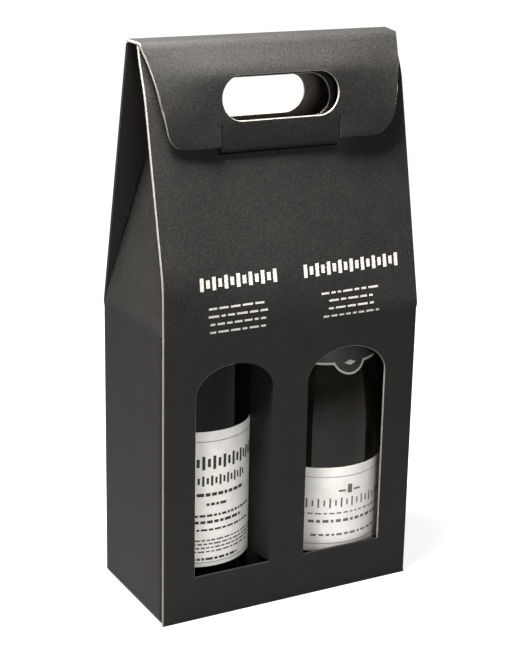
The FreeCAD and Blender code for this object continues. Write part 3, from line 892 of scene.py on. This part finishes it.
@dataclass
class ClosingFlap:
    """The flap that folds over the top, hangs down the front and tucks in with its tongue."""

    shape: BoxShape
    top: float = 359.9
    hinge_z: float = 358.15
    fold_radius: float = 2.4
    fold_y: float = -10.45
    bulge_radius: float = 103.0
    low_z: float = 298.0
    low_y: float = -28.5
    low_tilt: float = -3.0
    low_half: float = 77.0
    corner_radius: float = 20.0
    left_corner_radius: float = 12.5
    hole_z: float = 326.5
    hole_margin: float = 1.0
    tongue_half: float = 40.5
    tongue_gap: float = 0.5
    tongue_top: float = 312.0
    tongue_slope: float = 0.09
    tongue_radius: float = 71.5
    tongue_tip_y: float = -17.0
    bend_y: float = -25.4          # soft bend across the hanging part, above the hand hole
    bend_z: float = 341.5
    bend_round: float = 2.2
    bend_left: Flat = (-88.0, -40.0)   # where it begins and is full
    bend_right: Flat = (30.0, 88.0)    # where it starts to fade and has faded most
    bend_fade: float = 0.8         # how much of it goes there
    bend_foot: Flat = (-4.0, 10.0)     # heights over the flap's foot between which it grows
    bend_strip: float = 12.0       # length of strip over which it runs out
    lean_full: float = 350.0       # height at which the lean of the right side is full
    tongue_cut: Flat = (6.0, 4.0)  # corners cut off the tongue's end: across and along
    shoulder_past: float = 1.5     # how far past the flat top the flap keeps its full width

    def bent_y(self, x: float, y: float, z: float) -> float:
        """Depth of the hanging part with its soft bend, which fades towards both ends."""
        start_y, start_z = self.side_point(self.lengths()[1])
        if z >= start_z:
            return y
        upper = start_y + (start_z - z) * (self.bend_y - start_y) / (start_z - self.bend_z)
        lower = self.low_y + (z - self.low_z) * (self.bend_y - self.low_y) / (self.bend_z - self.low_z)
        bent = 0.5 * (upper + lower + math.hypot(upper - lower, self.bend_round))
        share = smooth_step(*self.bend_left, x) * smooth_step(*self.bend_foot, z - self.low_z)
        share *= 1.0 - self.bend_fade * smooth_step(*self.bend_right, x)
        return y + (bent - y) * share * smooth_step(0.0, 3.0, start_z - z)

    def centre(self) -> Flat:
        """Middle of the bulge in the side view, as depth and height."""
        tilt = math.radians(self.low_tilt)
        return (self.low_y + self.bulge_radius * math.cos(tilt),
                self.low_z - self.bulge_radius * math.sin(tilt))

    def high_angle(self) -> float:
        """Angle at which the fold runs into the bulge."""
        middle = self.centre()
        return math.atan2(self.top - self.fold_radius - middle[1], middle[0] - self.fold_y)

    def lengths(self) -> tuple[float, float]:
        """Distances from the hinge to the start and the end of the fold, along the sheet."""
        flat = self.shape.back_edge_y - self.fold_y
        return flat, flat + self.fold_radius * (math.pi / 2.0 - self.high_angle())

    def along(self, z: float) -> float:
        """Distance from the hinge, along the sheet, of a height on the hanging part."""
        middle = self.centre()
        angle = math.asin((z - middle[1]) / self.bulge_radius)
        return self.lengths()[1] + self.bulge_radius * (self.high_angle() - angle)

    def side_point(self, along: float) -> Flat:
        """Depth and height of the outer face at a distance from the hinge."""
        flat, folded = self.lengths()
        if along <= flat:
            return self.shape.back_edge_y - along, self.top
        if along <= folded:
            angle = math.pi / 2.0 - (along - flat) / self.fold_radius
            return (self.fold_y - self.fold_radius * math.cos(angle),
                    self.top - self.fold_radius + self.fold_radius * math.sin(angle))
        middle = self.centre()
        angle = self.high_angle() - (along - folded) / self.bulge_radius
        return (middle[0] - self.bulge_radius * math.cos(angle),
                middle[1] + self.bulge_radius * math.sin(angle))

    def strip_start(self) -> float:
        """Depth at which the strip under the hand hole starts."""
        return self.side_point(self.along(self.tongue_top))[0]

    def strip_corner(self) -> Flat:
        """Where the strip under the hand hole runs into the tongue's ring."""
        start_y = self.strip_start()
        forward = start_y - self.shape.back_edge_y
        upward = self.tongue_top - self.hinge_z
        square = self.tongue_slope ** 2 + 1.0
        linear_part = self.tongue_slope * forward - upward
        rest = forward ** 2 + upward ** 2 - self.tongue_radius ** 2
        drop = (-linear_part + math.sqrt(linear_part ** 2 - square * rest)) / square
        return start_y + self.tongue_slope * drop, self.tongue_top - drop

    def strip_turn(self) -> Flat:
        """Length of the strip down to its corner, and the corner's angle round the hinge."""
        y, z = self.strip_corner()
        return (math.hypot(y - self.strip_start(), self.tongue_top - z),
                math.atan2(self.shape.back_edge_y - y, self.hinge_z - z))

    def strip_point(self, past: float) -> Flat:
        """Depth and height of the strip and tongue, measured down from the strip's start."""
        run, begin = self.strip_turn()
        if past <= run:
            start_y = self.strip_start()
            y, z = self.strip_corner()
            share = past / run
            return start_y + (y - start_y) * share, self.tongue_top + (z - self.tongue_top) * share
        angle = begin - (past - run) / self.tongue_radius
        return (self.shape.back_edge_y - self.tongue_radius * math.sin(angle),
                self.hinge_z - self.tongue_radius * math.cos(angle))

    def strip_length(self) -> float:
        """Length of the strip and the tongue together."""
        run, begin = self.strip_turn()
        end = math.asin((self.shape.back_edge_y - self.tongue_tip_y) / self.tongue_radius)
        return run + self.tongue_radius * (begin - end)

    def place(self, x: float, along: float) -> Vector:
        """Point of the flap's outer face."""
        begin = self.along(self.tongue_top)
        if abs(x - self.shape.hole_x) < self.tongue_half + 0.1 and along > begin:
            y, z = self.strip_point(along - begin)
            start_y = self.strip_start()
            left = max(0.0, 1.0 - (along - begin) / self.bend_strip)
            y += (self.bent_y(x, start_y, self.tongue_top) - start_y) * left
        else:
            y, z = self.side_point(along)
            y = self.bent_y(x, y, z)
        return self.shape.settle(Vector((x, y, z)), self.shape.shoulder, self.lean_full)

    def half_outline(self, radius: float) -> list[Flat]:
        """Flat outline of the right half from its round lower corner up to the hinge."""
        s = self.shape
        lean = math.atan2(s.half_width - self.low_half, s.edge_height - self.low_z)
        reach = radius * math.tan((math.pi / 2.0 - lean) / 2.0)
        corner = arc_points((self.low_half - reach, self.low_z + radius), (radius, radius), -90.0,
                            -math.degrees(lean), 12)
        flat_top = self.lengths()[0] + self.shoulder_past
        return [(x, self.along(z)) for x, z in corner] + [(s.half_width, flat_top), (s.half_width, 0.0)]

    def outline(self) -> list[Flat]:
        """Flat outline of the flap with its round lower corners and its tongue."""
        right = self.half_outline(self.corner_radius)
        left = [(-u, v) for u, v in reversed(self.half_outline(self.left_corner_radius))]
        start = self.along(self.tongue_top)
        end = start + self.strip_length()
        half = self.tongue_half
        gap = half + self.tongue_gap
        lowest = self.along(self.low_z)
        across, along = self.tongue_cut
        notch = [(gap, lowest), (gap, start), (half, start), (half, end - along), (half - across, end)]
        x = self.shape.hole_x
        return right + left + [(x - u, v) for u, v in notch] + [(x + u, v) for u, v in reversed(notch)]

    def rim(self, middle: Vector) -> Side:
        """What the flap's cut edges show: print at the rear crease and beside the strip, and on the
        lower edge the print colour as painted shade over the pale raw edge, which faces down.
        """
        off_strip = abs(middle.x - self.shape.hole_x) - self.tongue_half
        by_strip = middle.z < self.tongue_top + 0.5 and off_strip < 1.0
        # Along the lower edge the print colour is painted shade: the raw edge there is pale board, but
        # it faces down, away from the lamps.
        dark = by_strip or middle.z < self.low_z + 1.2 or middle.y > self.shape.back_edge_y - 1.0
        return Side.PRINT if dark else Side.EDGE

    def build(self, materials: Sequence[Material]) -> Object:
        """Make the flap and put it on its body."""
        s = self.shape
        margin = 2.0 * self.hole_margin
        hole = obround((s.hole_x, self.hole_z), s.hole_width + margin, s.hole_height + margin)
        hole = [(x, self.along(z)) for x, z in hole]
        patch = Patch(self.outline(), self.place, [hole], step=3.0)
        mesh = board_of(patch, Z_AXIS, s.board, self.rim)
        piece = finish_mesh("closing_flap_sheet", mesh, materials)
        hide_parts("closing_flap")
        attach(piece, "flap")
        return piece


# Print: fields of ink laid on board or paper

@dataclass
class InkSheet:
    """Thin marks that follow the surface they are printed on.

    Each mark is a rectangle: its left end, its foot, its width and its height.
    """

    place: Place
    lift: float = 0.06
    thickness: float = 0.03
    longest: float = 3.0       # a longer mark is bent in steps
    short_bar: float = 0.62    # against the tall bars of an ornament
    probe: float = 0.05        # step that finds the surface's direction
    marks: list[tuple[float, float, float, float]] = field(default_factory=list)

    def dashes(self, rand: random.Random, middle: float, low: float, width: float, height: float,
               words: Flat, space: float) -> None:
        """Add a centred row of dashes; words are the shortest and the longest."""
        left = middle - width / 2.0
        end = middle + width / 2.0
        while left < end - 0.5 * words[0]:
            length = min(rand.uniform(*words), end - left)
            self.marks.append((left, low, length, height))
            left += length + space

    def ornament(self, middle: float, low: float, width: float, height: float, pitch: float,
                 stroke: float) -> None:
        """Add a centred row of upright bars, tall and short in turn."""
        count = int(round((width - stroke) / pitch))
        left = middle - (count * pitch + stroke) / 2.0
        for k in range(count + 1):
            tall = height * (1.0 if k % 2 == 0 else self.short_bar)
            self.marks.append((left + k * pitch, low + (height - tall) / 2.0, stroke, tall))

    def build(self, name: str, ink: Material) -> Object:
        """Make the marks as thin closed plates."""
        mesh = bmesh.new()
        for left, low, width, tall in self.marks:
            steps = max(1, math.ceil(width / self.longest))
            columns = []
            for k in range(steps + 1):
                u = left + width * k / steps
                column = []
                for v in (low, low + tall):
                    point = self.place(u, v)
                    tangent_u = self.place(u + self.probe, v) - point
                    tangent_v = self.place(u, v + self.probe) - point
                    normal = tangent_u.cross(tangent_v).normalized()
                    column += [mesh.verts.new(point + normal * height)
                               for height in (self.lift, self.lift + self.thickness)]
                columns.append(column)
            for a, b in zip(columns, columns[1:]):
                for i, j in ((1, 3), (2, 0), (0, 1), (3, 2)):
                    mesh.faces.new([a[i], b[i], b[j], a[j]])
            first, last = columns[0], columns[-1]
            mesh.faces.new([first[0], first[1], first[3], first[2]])
            mesh.faces.new([last[2], last[3], last[1], last[0]])
        piece = finish_mesh(name, mesh, [ink], 20.0)
        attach(piece, "box")
        return piece


def front_print(shape: BoxShape, ink: Material) -> Object:
    """Two titles and two small paragraphs on the front, as plain figures and dashes."""
    rand = random.Random(5)
    sheet = InkSheet(shape.front_point)
    columns = ((-38.7, 51.5, -39.7, (40.0, 40.4, 38.0, 38.6)),
               (41.8, 68.5, 40.4, (43.3, 32.2, 33.2, 40.6)))
    title_low, title_height, top_line, line_step, line_height = 215.5, 8.0, 203.6, 4.9, 1.25
    for title_x, title_width, text_x, widths in columns:
        sheet.ornament(title_x, title_low, title_width, title_height, 4.2, 2.5)
        for row, width in enumerate(widths):
            low = top_line - row * line_step
            sheet.dashes(rand, text_x, low, width, line_height, (2.6, 7.5), 1.5)
    return sheet.build("front_print", ink)


def round_bottle(middle: Flat, radius: float) -> Place:
    """Map for a label wrapped round a bottle, from the distance to its middle line and the height."""
    def place(across: float, z: float) -> Vector:
        angle = across / radius
        return Vector((middle[0] + radius * math.sin(angle), middle[1] - radius * math.cos(angle), z))
    return place


def left_label_print(ink: Material) -> Object:
    """Marks on the tall label of the left bottle."""
    rand = random.Random(11)
    sheet = InkSheet(round_bottle((-49.3, 0.0), 37.75), longest=2.0)
    sheet.marks += [(-40.0, 116.0, 80.0, 0.35), (-36.0, 34.0, 72.0, 0.3)]
    sheet.ornament(0.0, 97.5, 76.0, 9.0, 3.6, 2.0)
    sheet.ornament(-2.0, 86.5, 50.0, 6.8, 2.9, 1.5)
    rows = ((79.5, 44.0, 2.2), (73.0, 14.0, 1.8), (65.5, 62.0, 1.6), (61.0, 40.0, 1.9),
            (56.0, 58.0, 1.3), (49.0, 74.0, 0.9), (46.4, 72.0, 0.9), (43.8, 70.0, 0.9),
            (41.2, 60.0, 0.9), (35.8, 34.0, 1.6))
    for low, width, height in rows:
        sheet.dashes(rand, 0.0, low, width, height, (1.6, 5.0), 1.0)
    return sheet.build("label_left_print", ink)


def right_label_print(ink: Material) -> Object:
    """Marks on the wide label of the right bottle."""
    rand = random.Random(17)
    sheet = InkSheet(round_bottle((46.4, -0.5), 41.25), longest=2.0)
    sheet.marks += [(-46.0, 30.0, 92.0, 0.3), (-46.0, 77.0, 92.0, 0.3), (-46.0, 30.0, 0.3, 47.0),
                    (45.7, 30.0, 0.3, 47.0), (-1.6, 65.0, 3.2, 6.0), (-8.0, 66.5, 5.0, 1.2),
                    (3.0, 66.5, 5.0, 1.2)]
    sheet.ornament(0.0, 55.5, 74.0, 6.6, 3.9, 1.1)
    for low, width, height in ((51.0, 66.0, 0.9), (45.0, 56.0, 2.0), (35.5, 52.0, 1.4)):
        sheet.dashes(rand, 0.0, low, width, height, (1.6, 4.0), 1.6)
    return sheet.build("label_right_print", ink)


# Camera, light and floor

@dataclass
class Studio:
    """Plain pale floor, soft light and a camera at the photograph's viewing angle.

    Angles are in degrees, lengths in millimetres.
    """

    image_width: float = 530.0
    image_height: float = 650.0
    focal_px: float = 1598.85
    azimuth: float = -28.841
    elevation: float = 17.414
    roll: float = 1.235
    distance: float = 1024.28
    aim_height: float = 190.0
    shift_right: float = 2.506
    shift_up: float = -15.193
    sensor: float = 36.0
    floor_size: float = 6.0        # in metres, like the floor's other lengths
    floor_white: Flat = (0.3, 0.8)     # distances between which the floor fades to white
    shadow_white: float = 0.88     # how bright the floor shines near the object
    soft_light: float = 0.13
    lamp_size: float = 0.3

    def camera(self) -> None:
        """Place the camera."""
        az, el, roll = (math.radians(v) for v in (self.azimuth, self.elevation, self.roll))
        back = Vector((math.sin(az) * math.cos(el), -math.cos(az) * math.cos(el), math.sin(el)))
        right = Z_AXIS.cross(back).normalized()
        up = back.cross(right)
        turned_right = math.cos(roll) * right + math.sin(roll) * up
        turned_up = -math.sin(roll) * right + math.cos(roll) * up
        place = self.aim_height * Z_AXIS + self.shift_right * turned_right
        place += self.shift_up * turned_up + self.distance * back
        data = bpy.data.cameras.new("camera")
        data.sensor_width = self.sensor
        data.lens = self.focal_px * self.sensor / max(self.image_width, self.image_height)
        data.clip_start = 0.05
        camera = add_object("camera", data)
        turn = Matrix((turned_right, turned_up, back)).transposed().to_4x4()
        camera.matrix_world = Matrix.Translation(place * MM) @ turn
        bpy.context.scene.camera = camera

    def lamp(self, name: str, place: Sequence[float], aim: Sequence[float], watts: float) -> None:
        """Add a square area lamp; its place and aim are in metres."""
        data = bpy.data.lights.new(name, "AREA")
        data.size = self.lamp_size
        data.energy = watts
        lamp = add_object(name, data)
        lamp.location = place
        lamp.rotation_euler = (Vector(aim) - Vector(place)).to_track_quat("-Z", "Y").to_euler()

    def world(self) -> None:
        """Soft grey surroundings, white where the camera sees them or light passes through glass."""
        world = bpy.data.worlds.new("studio")
        bpy.context.scene.world = world
        nodes = Nodes(world)
        path = nodes.add("ShaderNodeLightPath").outputs
        seen = nodes.sum("MAXIMUM", path["Is Camera Ray"], path["Is Transmission Ray"])
        soft, white = (nodes.add("ShaderNodeBackground", {"Color": linear("ffffff"), "Strength": level})
                       for level in (self.soft_light, 1.0))
        mix = nodes.add("ShaderNodeMixShader", {0: seen, 1: soft.outputs[0], 2: white.outputs[0]})
        nodes.add("ShaderNodeOutputWorld", {"Surface": mix.outputs[0]})

    def floor(self) -> None:
        """Pale floor that shows white to the camera and keeps the object's shadow."""
        half = self.floor_size / 2.0
        data = bpy.data.meshes.new("floor")
        corners = ((-half, -half), (half, -half), (half, half), (-half, half))
        data.from_pydata([(x, y, 0.0) for x, y in corners], [], [(0, 1, 2, 3)])
        floor = add_object("floor", data)
        shade = Shading("painted_floor")
        grain = shade.noise(3.0)
        reach = shade.add("ShaderNodeVectorMath", {0: shade.where}, operation="LENGTH").outputs["Value"]
        level = shade.add("ShaderNodeMapRange", {
            "Value": reach, "From Min": self.floor_white[0], "From Max": self.floor_white[1],
            "To Min": self.shadow_white, "To Max": 1.0}).outputs[0]
        seen = shade.add("ShaderNodeLightPath").outputs["Is Camera Ray"]
        data.materials.append(shade.finish({
            "Base Color": shade.ramp(grain, (0.0, "747474"), (1.0, "7c7c7c")), "Roughness": 0.9,
            "Emission Color": linear("ffffff"),
            "Emission Strength": shade.sum("MULTIPLY", seen, level)}))

    def build(self) -> None:
        """Set up everything around the object."""
        self.camera()
        self.world()
        self.floor()
        self.lamp("top_lamp", (-0.2, -0.04, 0.9), (0.0, 0.0, 0.25), 50.0)
        self.lamp("front_lamp", (-0.24, -1.1, 0.42), (0.0, 0.0, 0.15), 3.7)
        bpy.context.scene.view_settings.view_transform = "Standard"


def dress_node(name: str, material: Material, smooth_degrees: float = 35.0) -> None:
    """Give a CAD node its material and smooth shading."""
    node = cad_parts[name]
    node.data.materials.clear()
    node.data.materials.append(material)
    node.data.shade_smooth()
    node.data.set_sharp_from_angle(angle=math.radians(smooth_degrees))
    log.info("dressed %s", name)


def main() -> None:
    """Build every piece of the object and the studio round it."""
    logging.basicConfig(level=logging.INFO, format="%(name)s: %(message)s")
    board = [PrintedBoard().build(), Paper("board_liner", "7f766c", "635b53").build(),
             Paper("board_edge", "8a857d", "736e67", fibre_mm=0.5, cloud_mm=3.0).build()]
    label_paper = Paper("label_paper", "efece6", "dedad2", fibre_mm=0.6, roughness=0.6).build()
    finishes = {
        "bottle_left": BottleGlass("black_bottle_glass", "040404", "080707", 0.14).build(),
        "bottle_right": BottleGlass("olive_bottle_glass", "0b0b08", "1b1912").build(),
        "label_left": label_paper,
        "label_right": label_paper,
        "collar_label_right": BorderedPaper("collar_paper", "3a3835", "2f2d2b", roughness=0.5).build(),
        "capsule_left": CapsuleFoil("black_foil", "1a1a1b", "101011").build(),
        "capsule_right": CapsuleFoil("grey_foil", "3a3a38", "262625").build()}
    for name, material in finishes.items():
        dress_node(name, material)
    shape = BoxShape()
    for piece in (Carton(shape).build(board), ClosingFlap(shape).build(board),
                  front_print(shape, Ink("pale_ink", "c4c0b9", "9c9891").build()),
                  left_label_print(Ink("black_ink", "2a2826", "4a4744").build()),
                  right_label_print(Ink("grey_ink", "5d5954", "77736d").build())):
        log.info("built %s", piece.name)
    Studio().build()


if __name__ == "__main__":
    main()
